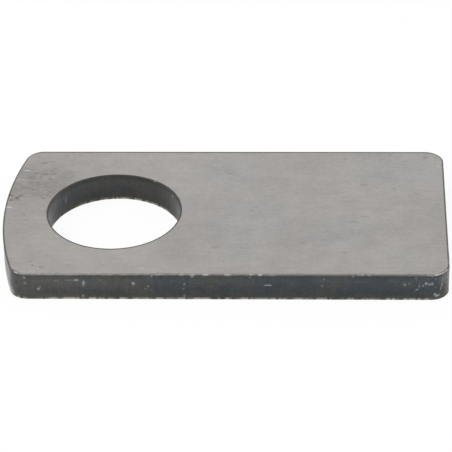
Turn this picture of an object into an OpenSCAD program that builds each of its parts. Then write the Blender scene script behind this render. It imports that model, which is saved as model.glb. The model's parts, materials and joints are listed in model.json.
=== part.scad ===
// Lock plate: a flat steel plate with one large round pin hole near its gently rounded end.
// The origin is on the axis of the hole at the underside, +Z runs up through the hole,
// +X runs along the plate towards the square end, and Y runs across it. Lengths are in millimetres.

/* [Plate] */
// Length over both ends, from the tip of the rounded end to the square end
plate_length = 120; // [80:1:240]
// Width over the two straight sides
plate_width = 60; // [50:1:100]
// Thickness of the sheet that the plate is cut from
plate_thickness = 8; // [3:0.5:20]

/* [Ends and corners] */
// Radius of the shallow arc across the end beside the hole
end_arc_radius = 95; // [45:1:200]
// Radius of the two corners where the arc runs into the straight sides
arc_corner_radius = 5; // [1:0.5:15]
// Radius of the two corners at the square end
square_corner_radius = 5; // [1:0.5:15]

/* [Pin hole] */
// Diameter of the hole
hole_diameter = 36; // [10:0.5:50]
// Metal left between the hole and the tip of the rounded end
end_wall = 12; // [6:0.5:40]
// Broken edge at both rims of the hole, measured along the face and down the wall
rim_break = 0.3; // [0.1:0.1:1.2]

/* [Hidden] */
$fn = 180;

// Positions along the plate, with the hole's axis at 0
half_width = plate_width / 2;
hole_radius = hole_diameter / 2;
tip_x = -(hole_radius + end_wall);
square_end_x = tip_x + plate_length;

// The shallow arc is centred on the plate's long axis
arc_centre_x = tip_x + end_arc_radius;

// A corner beside the arc touches the straight side and the arc, so its centre lies one corner
// radius inside both
arc_corner_y = half_width - arc_corner_radius;
arc_corner_reach = end_arc_radius - arc_corner_radius;
arc_corner_x = arc_centre_x - sqrt(pow(arc_corner_reach, 2) - pow(arc_corner_y, 2));
arc_half_angle = asin(arc_corner_y / arc_corner_reach);

square_corner_x = square_end_x - square_corner_radius;
square_corner_y = half_width - square_corner_radius;

// How far a cutting shape runs past the faces that it cuts
overcut = 1;

// Sector of the shallow arc, between the two points where the corners take over
module arc_end() {
  sector_side = 1.5 * end_arc_radius;
  intersection() {
    translate([arc_centre_x, 0]) circle(r = end_arc_radius);
    polygon([
      [arc_centre_x, 0],
      [arc_centre_x - sector_side * cos(arc_half_angle), sector_side * sin(arc_half_angle)],
      [arc_centre_x - sector_side * cos(arc_half_angle), -sector_side * sin(arc_half_angle)]
    ]);
  }
}

// A pair of round corners, one at each side of the plate
module corner_pair(x, y, radius) {
  for (side = [-1, 1]) {
    translate([x, side * y]) circle(r = radius);
  }
}

// The straight middle and the square end, without the corners
module straight_body() {
  translate([arc_corner_x, -half_width])
    square([square_corner_x - arc_corner_x, plate_width]);
  translate([arc_corner_x, -square_corner_y])
    square([square_end_x - arc_corner_x, 2 * square_corner_y]);
}

// Outer form of the plate, seen from above
module plate_outline() {
  arc_end();
  corner_pair(arc_corner_x, arc_corner_y, arc_corner_radius);
  straight_body();
  corner_pair(square_corner_x, square_corner_y, square_corner_radius);
}

// Space taken by the hole and by the broken edge at its two rims
module pin_hole() {
  translate([0, 0, -overcut])
    cylinder(r = hole_radius, h = plate_thickness + 2 * overcut);
  translate([0, 0, -overcut])
    cylinder(r1 = hole_radius + rim_break + overcut, r2 = hole_radius, h = rim_break + overcut);
  translate([0, 0, plate_thickness - rim_break])
    cylinder(r1 = hole_radius, r2 = hole_radius + rim_break + overcut, h = rim_break + overcut);
}

// The whole plate, one solid piece of sheet steel
module lock_plate() {
  color("#9d9b98")
    difference() {
      linear_extrude(plate_thickness) plate_outline();
      pin_hole();
    }
}

lock_plate();
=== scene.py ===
"""Visual model of a lock plate: laser-cut rolled steel sheet with one pin hole near its gently rounded end.

The row frame is in metres, with its origin on the hole's axis at the underside, +Z up through the hole and
+X towards the square end. The plate itself is worked in millimetres, as it is cut from a drawing in
millimetres, and is turned to metres when the mesh is made.
"""

import json
import logging
import math
from dataclasses import dataclass
from enum import Enum
from typing import Any, Iterator, Sequence

import bpy
import numpy as np
from mathutils import Matrix, Vector, noise
from mathutils.geometry import delaunay_2d_cdt

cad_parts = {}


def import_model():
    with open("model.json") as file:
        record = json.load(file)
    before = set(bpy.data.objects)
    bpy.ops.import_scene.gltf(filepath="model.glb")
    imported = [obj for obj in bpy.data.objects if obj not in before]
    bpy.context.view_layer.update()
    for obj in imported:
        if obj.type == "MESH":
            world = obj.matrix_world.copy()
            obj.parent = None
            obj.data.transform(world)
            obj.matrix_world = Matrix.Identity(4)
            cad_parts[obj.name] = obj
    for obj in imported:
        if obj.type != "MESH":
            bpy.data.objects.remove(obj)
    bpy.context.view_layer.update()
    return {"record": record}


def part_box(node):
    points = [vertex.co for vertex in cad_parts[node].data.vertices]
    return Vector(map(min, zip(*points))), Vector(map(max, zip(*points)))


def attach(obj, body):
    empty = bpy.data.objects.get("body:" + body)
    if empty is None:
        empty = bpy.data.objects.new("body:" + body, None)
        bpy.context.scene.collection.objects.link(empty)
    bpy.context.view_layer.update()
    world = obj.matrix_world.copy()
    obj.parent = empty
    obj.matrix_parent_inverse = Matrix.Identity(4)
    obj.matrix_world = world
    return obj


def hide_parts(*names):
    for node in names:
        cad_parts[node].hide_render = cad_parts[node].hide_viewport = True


LOG = logging.getLogger("lock_plate")
MM = 0.001
NODE = "lock_plate"
WHITE = (1.0, 1.0, 1.0, 1.0)

#: Noise: how fast its finer layers weaken, and how many times finer each one is.
LAYER_FADE = 0.9
LAYER_STEP = 2.0

#: Three numbers, along x, y and z or for three sides of the plate.
Triple = tuple[float, float, float]
#: Where something starts, and where it is full or has gone.
Range = tuple[float, float]
#: Size of a pattern along the cut and up the wall.
Feature = tuple[float, float]
#: A place seen from above, by x and y.
Point = tuple[float, float]
#: Where a change starts and ends, and the value at each.
Ramp = tuple[float, float, float, float]
#: A face of the mesh, by the numbers of its vertices.
Face = tuple[int, ...]
Socket = bpy.types.NodeSocket


def linear(hex_colour: str) -> tuple[float, float, float, float]:
    """Turn an sRGB hex colour to linear light.

    Args:
        hex_colour: Six hex digits after a hash.

    Returns:
        Linear red, green and blue, and an alpha of 1.
    """
    channels = (int(hex_colour[i : i + 2], 16) / 255 for i in (1, 3, 5))
    red, green, blue = (c / 12.92 if c <= 0.04045 else ((c + 0.055) / 1.055) ** 2.4 for c in channels)
    return red, green, blue, 1.0


def add_node(
    tree: bpy.types.NodeTree, kind: str, inputs: dict[str | int, Any] | None = None, **settings: Any
) -> bpy.types.Node:
    """Add a shader node with its settings, values and links.

    Args:
        tree: Node tree that takes the node.
        kind: Blender's name for the type of node, less its first part, ShaderNode.
        inputs: What goes into each input: another node's output, or a value.
        **settings: Properties of the node itself.

    Returns:
        The new node.
    """
    node = tree.nodes.new("ShaderNode" + kind)
    for name, value in settings.items():
        setattr(node, name, value)
    for key, value in (inputs or {}).items():
        if isinstance(value, Socket):
            tree.links.new(value, node.inputs[key])
        else:
            node.inputs[key].default_value = value
    return node


def noise_at(places: np.ndarray, feature_mm: Sequence[float], octaves: int, shift: float) -> np.ndarray:
    """Sample smooth noise at many places.

    Args:
        places: Rows of x, y and z in millimetres.
        feature_mm: Size of a feature of the noise along x, y and z.
        octaves: How many layers the noise has, each finer than the last.
        shift: Moves the pattern, so that two uses differ.

    Returns:
        One value for each place, mostly between -1 and 1.
    """
    scaled = places / np.asarray(feature_mm, float) + shift
    return np.array([noise.fractal(Vector(row), LAYER_FADE, LAYER_STEP, octaves) for row in scaled])


def smooth_step(low: float, high: float, value: np.ndarray) -> np.ndarray:
    """Rise smoothly from 0 at low to 1 at high."""
    part = np.clip((value - low) / (high - low), 0.0, 1.0)
    return part * part * (3 - 2 * part)


class Cut(Enum):
    """The two cuts that free the plate from its sheet, each with a shift that sets its noise apart."""

    OUTLINE = 0.0
    HOLE = 37.0


class Rim(Enum):
    """The two edges of a cut."""

    UPPER = "upper"
    LOWER = "lower"


class MarkKind(Enum):
    """What a single mark does to the surface."""

    NICK = "bare metal shows, in a small dent"
    RUB = "bare metal shows, with no dent"
    PIT = "a dark dent"
    SOIL = "dirt rubbed into the grain"
    COOL = "a soft patch where the steel is less brown"


@dataclass(frozen=True)
class Mark:
    """One mark on the plate.

    Args:
        kind: What the mark does.
        centre: Its place in the row frame, in millimetres.
        half_size: Its reach along x, y and z, in millimetres.
        strength: How plainly it shows, from 0 to 1.
    """

    kind: MarkKind
    centre: Triple
    half_size: Triple
    strength: float

    #: Depth of the kinds that dent the metal, at full strength, in millimetres.
    DEPTHS = {MarkKind.NICK: 0.07, MarkKind.PIT: 0.09}
    #: Parts of its half size where a mark starts to fade and has gone, how ragged that border is, and the
    #: reach of the box round it.
    BORDER = (0.45, 1.2)
    RAGGEDNESS = 0.45
    BOX = 1.7

    @property
    def depth(self) -> float:
        """How deep the mark goes into the metal, in millimetres."""
        return self.DEPTHS.get(self.kind, 0.0) * self.strength

    def near(self, places: np.ndarray) -> np.ndarray:
        """Which places lie in the box round the mark."""
        return np.all(np.abs(places - np.array(self.centre)) < self.BOX * np.array(self.half_size), axis=1)

    def reach(self, places: np.ndarray, ragged: np.ndarray) -> np.ndarray:
        """How strongly the mark shows at each place, from 0 to 1, with a ragged border."""
        away = (places - np.array(self.centre)) / np.array(self.half_size)
        return 1.0 - smooth_step(*self.BORDER, np.linalg.norm(away, axis=1) + self.RAGGEDNESS * ragged)


@dataclass(frozen=True)
class RimWear:
    """A stretch of rim where a chip or handling has taken the oxide off; on an upper rim it also paints a
    highlight.

    Args:
        cut: The cut that the rim belongs to.
        rim: Upper or lower rim.
        start: Where the stretch starts, in millimetres along the cut.
        length: How long it is, in millimetres.
        strength: How bright it is, with full brightness at 1.
    """

    cut: Cut
    rim: Rim
    start: float
    length: float
    strength: float

    #: Parts of its half length where the wear starts to fade and has gone, and how many millimetres further
    #: out the second one lies.
    FADE = (0.75, 1.1)
    TAIL = 0.1

    def reach(self, run: np.ndarray, total: float) -> np.ndarray:
        """How strongly the wear shows at each place along the cut, from 0 to 1.

        Args:
            run: Distance of each place along the cut.
            total: Length of the whole cut.

        Returns:
            The strength at each place.
        """
        half = self.length / 2
        away = np.abs((run - self.start - half + total / 2) % total - total / 2)
        return 1.0 - smooth_step(self.FADE[0] * half, self.FADE[1] * half + self.TAIL, away)


@dataclass(frozen=True)
class CutLine:
    """A closed line that the laser followed, seen from above and sampled at even steps, in millimetres.

    Args:
        cut: Which of the two cuts it is.
        points: Rows of x and y.
        normals: Rows of x and y that point out of the metal.
        run: Distance along the line at each point.
        length: Length of the whole line.
    """

    cut: Cut
    points: np.ndarray
    normals: np.ndarray
    run: np.ndarray
    length: float

    def noise(
        self, z: np.ndarray, feature_mm: Feature, octaves: int, shift: float, lag: np.ndarray | float = 0.0
    ) -> np.ndarray:
        """Sample smooth noise over the wall along this line, as if it were rolled out flat.

        Args:
            z: Height of each vertex, with one row of values for each row of the wall.
            feature_mm: Size of a feature of the noise along the cut and up the wall.
            octaves: How many layers the noise has, each finer than the last.
            shift: Moves the pattern, so that two uses differ.
            lag: How much further along the cut each vertex takes its noise from.

        Returns:
            One value for each vertex, mostly between -1 and 1, in the rows of z.
        """
        run = np.broadcast_to(self.run + lag, z.shape)
        flat = np.column_stack([run.ravel(), z.ravel(), np.full(z.size, self.cut.value)])
        return noise_at(flat, (*feature_mm, 1.0), octaves, shift).reshape(z.shape)


@dataclass
class PlateSizes:
    """Sizes of the plate in millimetres. Length, width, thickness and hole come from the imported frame.

    Args:
        tip_x: Tip of the rounded end.
        end_x: The square end.
        half_width: From the long axis to a straight side.
        thickness: Thickness of the sheet.
        hole_radius: Radius of the pin hole.
        arc_radius: Radius of the shallow arc across the rounded end.
        arc_corner: Radius of the corners beside the arc.
        square_corner: Radius of the corners at the square end.
    """

    tip_x: float
    end_x: float
    half_width: float
    thickness: float
    hole_radius: float
    arc_radius: float = 95.0
    arc_corner: float = 5.0
    square_corner: float = 5.0

    #: Fewest samples of a straight run and of an arc.
    FEWEST_STRAIGHT = 2
    FEWEST_ARC = 6

    def __post_init__(self) -> None:
        """Work out the centres of the arcs."""
        self.arc_x = self.tip_x + self.arc_radius
        reach = self.arc_radius - self.arc_corner
        self.arc_corner_y = self.half_width - self.arc_corner
        self.arc_corner_x = self.arc_x - math.sqrt(reach**2 - self.arc_corner_y**2)
        self.arc_half_angle = math.asin(self.arc_corner_y / reach)
        self.square_corner_x = self.end_x - self.square_corner
        self.square_corner_y = self.half_width - self.square_corner

    def outline(self, step: float) -> CutLine:
        """Sample the outer cut, counter-clockwise from the end of the rounded end's near corner.

        Args:
            step: Distance between samples.

        Returns:
            The cut line.
        """
        quarter, turn = math.pi / 2, self.arc_half_angle
        near_x, far_x = self.arc_corner_x, self.square_corner_x
        near_y, far_y = self.arc_corner_y, self.square_corner_y
        runs = [
            self._straight((near_x, -self.half_width), (far_x, -self.half_width), step),
            self._arc((far_x, -far_y), self.square_corner, -quarter, 0.0, step),
            self._straight((self.end_x, -far_y), (self.end_x, far_y), step),
            self._arc((far_x, far_y), self.square_corner, 0.0, quarter, step),
            self._straight((far_x, self.half_width), (near_x, self.half_width), step),
            self._arc((near_x, near_y), self.arc_corner, quarter, math.pi - turn, step),
            self._arc((self.arc_x, 0.0), self.arc_radius, math.pi - turn, math.pi + turn, step),
            self._arc((near_x, -near_y), self.arc_corner, math.pi + turn, 3 * quarter, step),
        ]
        return self._join(Cut.OUTLINE, runs)

    def hole(self, step: float) -> CutLine:
        """Sample the cut round the hole, clockwise from +X, so that the metal stays on its left."""
        points, normals = self._arc((0.0, 0.0), self.hole_radius, 2 * math.pi, 0.0, step)
        return self._join(Cut.HOLE, [(points, -normals)])

    def hole_run(self, degrees: float) -> float:
        """Distance along the hole's cut to the place at an angle from +X."""
        return self.hole_radius * math.radians(360.0 - degrees)

    def near_side(self, x: float) -> float:
        """Find the near wall at a place along the plate, round its corners too.

        Args:
            x: The place.

        Returns:
            The wall's y.
        """
        for corner_x, radius, way in (
            (self.square_corner_x, self.square_corner, 1),
            (self.arc_corner_x, self.arc_corner, -1),
        ):
            past = (x - corner_x) * way
            if past > 0:
                return radius - self.half_width - math.sqrt(max(radius**2 - past**2, 0.0))
        return -self.half_width

    def depth_inside(self, x: np.ndarray, y: np.ndarray) -> np.ndarray:
        """Measure from each place to the nearest cut.

        Args:
            x: Places along the plate.
            y: Places across it.

        Returns:
            The distances, positive in the metal.
        """
        side = np.abs(y)
        depth = np.minimum(self.half_width - side, self.end_x - x)
        depth = np.minimum(depth, self.arc_radius - np.hypot(x - self.arc_x, y))
        in_square = (x > self.square_corner_x) & (side > self.square_corner_y)
        to_square = np.hypot(x - self.square_corner_x, side - self.square_corner_y)
        depth = np.where(in_square, self.square_corner - to_square, depth)
        beyond = (side - self.arc_corner_y) * math.cos(self.arc_half_angle)
        beyond += (x - self.arc_corner_x) * math.sin(self.arc_half_angle)
        in_arc = (x < self.arc_corner_x) & (beyond > 0)
        to_arc = np.hypot(x - self.arc_corner_x, side - self.arc_corner_y)
        depth = np.where(in_arc, self.arc_corner - to_arc, depth)
        return np.minimum(depth, np.hypot(x, y) - self.hole_radius)

    def _straight(self, start: Point, end: Point, step: float) -> tuple[np.ndarray, np.ndarray]:
        """Sample a straight run, with its last point left out.

        Args:
            start: First x and y.
            end: Last x and y.
            step: Distance between samples.

        Returns:
            Points and outward normals.
        """
        along = np.subtract(end, start)
        count = max(self.FEWEST_STRAIGHT, math.ceil(np.linalg.norm(along) / step))
        part = np.linspace(0, 1, count, endpoint=False)[:, None]
        outward = np.array([along[1], -along[0]]) / np.linalg.norm(along)
        return np.asarray(start) + part * along, np.tile(outward, (count, 1))

    def _arc(
        self, centre: Point, radius: float, start: float, end: float, step: float
    ) -> tuple[np.ndarray, np.ndarray]:
        """Sample an arc, with its last point left out.

        Args:
            centre: Its x and y.
            radius: Its radius.
            start: Angle of its first point from +X, in radians.
            end: Angle of its last point.
            step: Distance between samples.

        Returns:
            Points and directions away from the centre.
        """
        count = max(self.FEWEST_ARC, math.ceil(abs(end - start) * radius / step))
        angle = np.linspace(start, end, count, endpoint=False)
        radial = np.column_stack([np.cos(angle), np.sin(angle)])
        return np.asarray(centre) + radius * radial, radial

    @staticmethod
    def _join(cut: Cut, runs: list[tuple[np.ndarray, np.ndarray]]) -> CutLine:
        """Join runs into one closed line and measure the distance along it.

        Args:
            cut: Which of the two cuts it is.
            runs: Points and normals of each run.

        Returns:
            The line.
        """
        points = np.vstack([run[0] for run in runs])
        normals = np.vstack([run[1] for run in runs])
        steps = np.linalg.norm(np.roll(points, -1, axis=0) - points, axis=1)
        distance = np.concatenate([[0.0], np.cumsum(steps)])
        return CutLine(cut, points, normals, distance[:-1], float(distance[-1]))


@dataclass
class Surface:
    """Vertices of one patch of the plate's skin, with what each one shows.

    Args:
        places: Rows of x, y and z in millimetres.
        inward: Unit directions into the metal, for dents.
        oxide: 1 where the laser's oxide film covers the steel.
        bare: 1 where bare steel shows; on upper rims and low on the rounded end it also paints light.
        soil: 1 where dirt or soot lies, and where shade is painted on the hole's wall.
        blued: How much bluer (above 0) or greyer (below 0) the film has turned.
        cool: 1 where the rolled steel is less brown.
    """

    places: np.ndarray
    inward: np.ndarray
    oxide: np.ndarray
    bare: np.ndarray
    soil: np.ndarray
    blued: np.ndarray
    cool: np.ndarray

    #: What each vertex shows, by the name that the material reads.
    SHOWN = ("oxide", "bare", "soil", "blued", "cool")


@dataclass
class WallGrid(Surface):
    """A cut wall: rows from the underside to the top face, each as long as its cut line.

    Args:
        rows: How many rows it has.
        columns: How many vertices a row has.
    """

    rows: int
    columns: int

    def row(self, index: int) -> np.ndarray:
        """Places of one row, counted from the underside; -1 is the row at the top face."""
        return self.places.reshape(self.rows, self.columns, 3)[index]


@dataclass(frozen=True)
class RimFinish:
    """How the laser, and handling after it, left the upper rim of one cut.

    Each field has one value for the near side of the plate, one for its two ends and one for the far side.

    Args:
        round_over: Radius of the small round, in millimetres.
        uneven: How far the round and the dark line vary, as a part of their size.
        scorch: How far the dark line beside the round reaches onto the face, in millimetres.
        film: How much of the oxide is left on the round, from 0 to 1.
    """

    round_over: Triple
    uneven: Triple
    scorch: Triple
    film: Triple

    #: The wall's direction along y at which the values hold: near side, both limits of the ends, far side.
    FACING = (-1.0, -0.8, 0.7, 1.0)

    def by_side(self, values: Triple, line: CutLine) -> np.ndarray:
        """Spread the values of near side, ends and far side over the places along a cut line."""
        near, ends, far = values
        return np.interp(line.normals[:, 1], self.FACING, (near, ends, ends, far))


@dataclass(frozen=True)
class FilmWear:
    """Where the cut walls' oxide film has soot, scuffs and blueing, and painted shade and light, in
    millimetres.
    """

    sizes: PlateSizes

    #: Broken line of soot under the upper rim: strength, how far down it lies, half width, size of the noise
    #: that breaks it, and the noise where it starts and is full.
    soot: float = 0.14
    soot_drop: float = 0.75
    soot_width: float = 0.28
    soot_mm: Feature = (5.0, 1.0)
    soot_break: Range = (-0.5, 0.3)
    #: Painted shade all over the hole's wall, drawn as soot.
    hole_soot: float = 0.45

    #: Bare streaks low on the rounded end, partly scuffs and partly a painted reflection of the white floor
    #: at a
    #: grazing angle: size of a streak along and up the wall, mean strength, contrast, the ranges of the
    #: wall's turn to the end and of the distance from the long axis where they set in, and the heights where
    #: they fade.
    scuff_mm: Feature = (1.1, 7.0)
    scuff_mean: float = 0.62
    scuff_contrast: float = 0.5
    scuff_turn: Range = (0.6, 0.95)
    scuff_side: Range = (10.0, 19.0)
    scuff_height: Range = (0.8, 3.0)

    #: Blueing of the outer wall: at the tip, its gain up to the square end, its loss there, and the parts of
    #: the plate's length between which it is lost.
    tip_blue: float = -0.16
    blue_gain: float = 0.32
    end_loss: float = 0.4
    end_range: Range = (0.97, 0.99)
    #: Blueing of the hole's wall: towards the tip, its loss towards the square end, where it is lost along
    #: the plate, and how far that border slants.
    hole_blue: float = -0.06
    hole_loss: float = 0.24
    hole_range: Range = (-6.0, 8.0)
    hole_slant: float = 0.3

    #: Shifts that set this film's patterns of noise apart.
    SOOT_SHIFT = 31.0
    SCUFF_SHIFT = 71.0

    def sooty(self, line: CutLine, z: np.ndarray) -> np.ndarray:
        """Find the soot in a broken line under the upper rim, and the painted shade all over the hole's
        wall.

        Args:
            line: The cut line.
            z: Height of each vertex of the wall.

        Returns:
            The soot and the painted shade at each vertex, from 0 to 1.
        """
        pattern = line.noise(np.zeros_like(z), self.soot_mm, 2, self.SOOT_SHIFT)
        away = (self.sizes.thickness - z - self.soot_drop) / self.soot_width
        under_rim = self.soot * smooth_step(*self.soot_break, pattern) * np.exp(-(away**2))
        # The hole's wall takes painted shade all over, on top of its soot
        return under_rim + (self.hole_soot if line.cut is Cut.HOLE else 0.0)

    def scuffed(self, line: CutLine, z: np.ndarray) -> np.ndarray:
        """Find the bare streaks low on the rounded wall's near end: drag scuffs, and a painted reflection of
        the floor.

        Args:
            line: The outer cut line.
            z: Height of each vertex of the wall.

        Returns:
            How bare each vertex is, and so how much of the painted reflection it shows, from 0 to 1.
        """
        streaks = line.noise(z, self.scuff_mm, 2, self.SCUFF_SHIFT)
        near_end = smooth_step(*self.scuff_turn, -line.normals[:, 0])
        near_end = near_end * smooth_step(*self.scuff_side, -line.points[:, 1])
        strength = np.clip(self.scuff_mean + self.scuff_contrast * streaks, 0, 1)
        return strength * near_end * (1 - smooth_step(*self.scuff_height, z + streaks))

    def blued(self, line: CutLine) -> np.ndarray:
        """Find how blue the film has turned: more up to the square end's corners, and less in the hole.

        Args:
            line: The cut line.

        Returns:
            The blueing at each place along the line, above 0 where it is bluer.
        """
        x, y = line.points.T
        if line.cut is Cut.OUTLINE:
            along = (x - self.sizes.tip_x) / (self.sizes.end_x - self.sizes.tip_x)
            lost = self.end_loss * smooth_step(*self.end_range, along)
            return self.tip_blue + self.blue_gain * along - lost
        return self.hole_blue - self.hole_loss * smooth_step(*self.hole_range, x - self.hole_slant * y)


@dataclass
class LaserCut:
    """How a laser leaves a cut wall in thick sheet, in millimetres.

    The beam enters at the top face, which leaves a small round on that rim and the smoothest wall. The melt
    drags behind it further down. The lower rim stays sharp, apart from stretches where the last of the melt
    broke away.
    """

    sizes: PlateSizes
    wear: tuple[RimWear, ...]

    outer_rim: RimFinish = RimFinish(
        round_over=(0.44, 0.3, 0.17),
        uneven=(0.3, 0.14, 0.08),
        scorch=(0.04, 0.14, 0.34),
        film=(0.5, 0.85, 0.86),
    )
    hole_rim: RimFinish = RimFinish(
        round_over=(0.14, 0.14, 0.14),
        uneven=(0.2, 0.2, 0.2),
        scorch=(0.04, 0.2, 0.26),
        film=(0.9, 0.92, 0.97),
    )
    #: Length of the unevenness along the rims.
    uneven_length: float = 1.7

    #: Steps of the mesh up the wall and round each rim, and how far it reaches onto the faces.
    wall_rows: int = 25
    rim_rows: int = 4
    face_margin: float = 1.2

    #: Radius of the lower rim where it is whole and where it is chipped, the wear between which it changes,
    #: and the heights between which a chip's bare strip fades.
    sharp_rim: float = 0.07
    chipped_rim: float = 0.12
    chip_range: Range = (0.1, 0.4)
    strip_fade: Range = (0.3, 0.75)
    #: Length of the teeth of a worn stretch, and the noise where wear starts and is full on each rim.
    tooth_length: float = 0.9
    lower_teeth: Range = (-0.45, 0.05)
    upper_teeth: Range = (-0.6, 0.1)

    #: Where the dark line has gone, as a part of its own width, the film on a whole round, and how fast it
    #: goes over to the film at the edge of the face.
    scorch_fade: float = 1.8
    round_film: float = 0.95
    film_curve: float = 0.7
    #: Shine of a rubbed upper rim, which also paints a highlight: its middle and half width, as parts of the
    #: round, and the shine of the face beside it.
    shine_middle: float = 0.5
    shine_width: float = 0.35
    face_shine: float = 0.05

    #: Drag lines: pitch along the cut and length up the wall, depth, the part of it that they have at the
    #: top, and how far they lag at the underside. The pitch is a little coarser than real, so that it shows.
    drag_mm: Feature = (1.3, 16.0)
    drag_depth: float = 0.03
    drag_top: float = 0.3
    drag_lag: float = 1.2
    #: Sway of the beam: its length along and up the wall, and its depth.
    sway_mm: Feature = (14.0, 6.0)
    sway_depth: float = 0.05
    #: Heights above the underside and below the top face over which drag lines and sway set in.
    low_margin: float = 0.4
    top_margin: float = 0.5

    #: Shifts that set the cut's patterns of noise apart.
    ROUND_SHIFT = 11.0
    SCORCH_SHIFT = 23.0
    DRAG_SHIFT = 3.0
    SWAY_SHIFT = 9.0

    def wall(self, line: CutLine) -> WallGrid:
        """Build the wall along one cut line.

        Args:
            line: The cut line.

        Returns:
            The wall's vertices and what they show.
        """
        finish = self.outer_rim if line.cut is Cut.OUTLINE else self.hole_rim
        ring = np.column_stack([line.points, np.zeros(len(line.points))])
        teeth = noise_at(ring, (self.tooth_length,) * 3, 2, line.cut.value)
        chips = self._worn(line, Rim.LOWER) * smooth_step(*self.lower_teeth, teeth)
        rubs = self._worn(line, Rim.UPPER) * smooth_step(*self.upper_teeth, teeth)
        lower = self.sharp_rim + (self.chipped_rim - self.sharp_rim) * smooth_step(*self.chip_range, chips)
        uneven = finish.by_side(finish.uneven, line)
        rim_sizes = []
        for values, shift in ((finish.round_over, self.ROUND_SHIFT), (finish.scorch, self.SCORCH_SHIFT)):
            change = noise_at(ring, (self.uneven_length,) * 3, 3, line.cut.value + shift)
            rim_sizes.append(finish.by_side(values, line) * (1 + uneven * change))
        upper, scorch = rim_sizes
        z, inset, film, shine = self._profile(upper, lower, scorch, finish.by_side(finish.film, line))
        inset = inset + self._relief(line, z)

        rows, columns = z.shape
        flat = line.points[None, :, :] - line.normals[None, :, :] * inset[:, :, None]
        inward = np.dstack([np.tile(-line.normals, (rows, 1, 1)), np.zeros_like(z)])
        film_wear = FilmWear(self.sizes)
        # Bare steel on chipped lower rims and rubbed upper rims, which on the upper rims also paints a
        # highlight
        bare = np.clip(np.maximum(chips * (1 - smooth_step(*self.strip_fade, z)), rubs * shine), 0, 1)
        # Bare streaks low on the rounded end: scuffs, and a painted reflection of the white floor
        if line.cut is Cut.OUTLINE:
            bare = np.maximum(bare, film_wear.scuffed(line, z) * film)
        return WallGrid(
            places=np.dstack([flat, z]).reshape(-1, 3),
            inward=inward.reshape(-1, 3),
            oxide=film.ravel(),
            bare=bare.ravel(),
            # Soot, with the painted shade on the hole's wall
            soil=(film_wear.sooty(line, z) * film).ravel(),
            blued=np.tile(film_wear.blued(line), rows),
            cool=np.zeros(rows * columns),
            rows=rows,
            columns=columns,
        )

    def _worn(self, line: CutLine, rim: Rim) -> np.ndarray:
        """Find how worn one rim is along the cut.

        Args:
            line: The cut line.
            rim: Upper or lower rim.

        Returns:
            The wear at each place along the line.
        """
        worn = np.zeros(len(line.run))
        for wear in self.wear:
            if wear.cut is line.cut and wear.rim is rim:
                worn = np.maximum(worn, wear.strength * wear.reach(line.run, line.length))
        return worn

    def _profile(
        self, upper: np.ndarray, lower: np.ndarray, scorch: np.ndarray, edge_film: np.ndarray
    ) -> tuple[np.ndarray, ...]:
        """Work out the wall's section at each place along the cut.

        Args:
            upper: Radius of the upper rim's round.
            lower: Radius of the lower rim's round.
            scorch: How far the dark line reaches onto the faces.
            edge_film: How much of the oxide is left at the edge of the faces.

        Returns:
            Height, distance inside the cut line, oxide and upper rim's shine, each with a row per step up.
        """
        thick = self.sizes.thickness
        floor, level = np.zeros_like(lower), np.full_like(lower, thick)
        section = [
            (floor, floor + self.face_margin, 0.0, 0.0),
            (floor, lower + self.scorch_fade * scorch, 0.0, 0.0),
            (floor, lower + scorch, edge_film, 0.0),
        ]
        for angle in np.linspace(0, math.pi / 2, self.rim_rows + 1):
            height, inset = lower * (1 - math.cos(angle)), lower * (1 - math.sin(angle))
            section.append((height, inset, self.round_film, 0.0))
        for part in np.linspace(0, 1, self.wall_rows + 1)[1:-1]:
            section.append((lower + part * (thick - upper - lower), floor, 1.0, 0.0))
        for part in np.linspace(0, 1, self.rim_rows + 1):
            angle = part * math.pi / 2
            height, inset = level - upper * (1 - math.sin(angle)), upper * (1 - math.cos(angle))
            film = self.round_film + (edge_film - self.round_film) * part**self.film_curve
            shine = math.exp(-(((part - self.shine_middle) / self.shine_width) ** 2))
            section.append((height, inset, film, shine))
        section += [
            (level, upper + scorch, edge_film, self.face_shine),
            (level, upper + self.scorch_fade * scorch, 0.0, 0.0),
            (level, floor + self.face_margin, 0.0, 0.0),
        ]
        return tuple(np.array([np.broadcast_to(step[i], lower.shape) for step in section]) for i in range(4))

    def _relief(self, line: CutLine, z: np.ndarray) -> np.ndarray:
        """Work out how far drag lines and the sway of the beam set the wall back.

        Args:
            line: The cut line.
            z: Height of each vertex of the wall.

        Returns:
            The distance at each vertex.
        """
        low_part = 1 - z / self.sizes.thickness
        drag = line.noise(z, self.drag_mm, 2, self.DRAG_SHIFT, self.drag_lag * low_part**2)
        sway = line.noise(z, self.sway_mm, 1, self.SWAY_SHIFT)
        in_wall = smooth_step(0.0, self.low_margin, z)
        in_wall = in_wall * smooth_step(0.0, self.top_margin, self.sizes.thickness - z)
        lines = self.drag_depth * (self.drag_top + low_part) * (1 + drag)
        return in_wall * (lines + self.sway_depth * (1 + sway) / 2)


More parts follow.
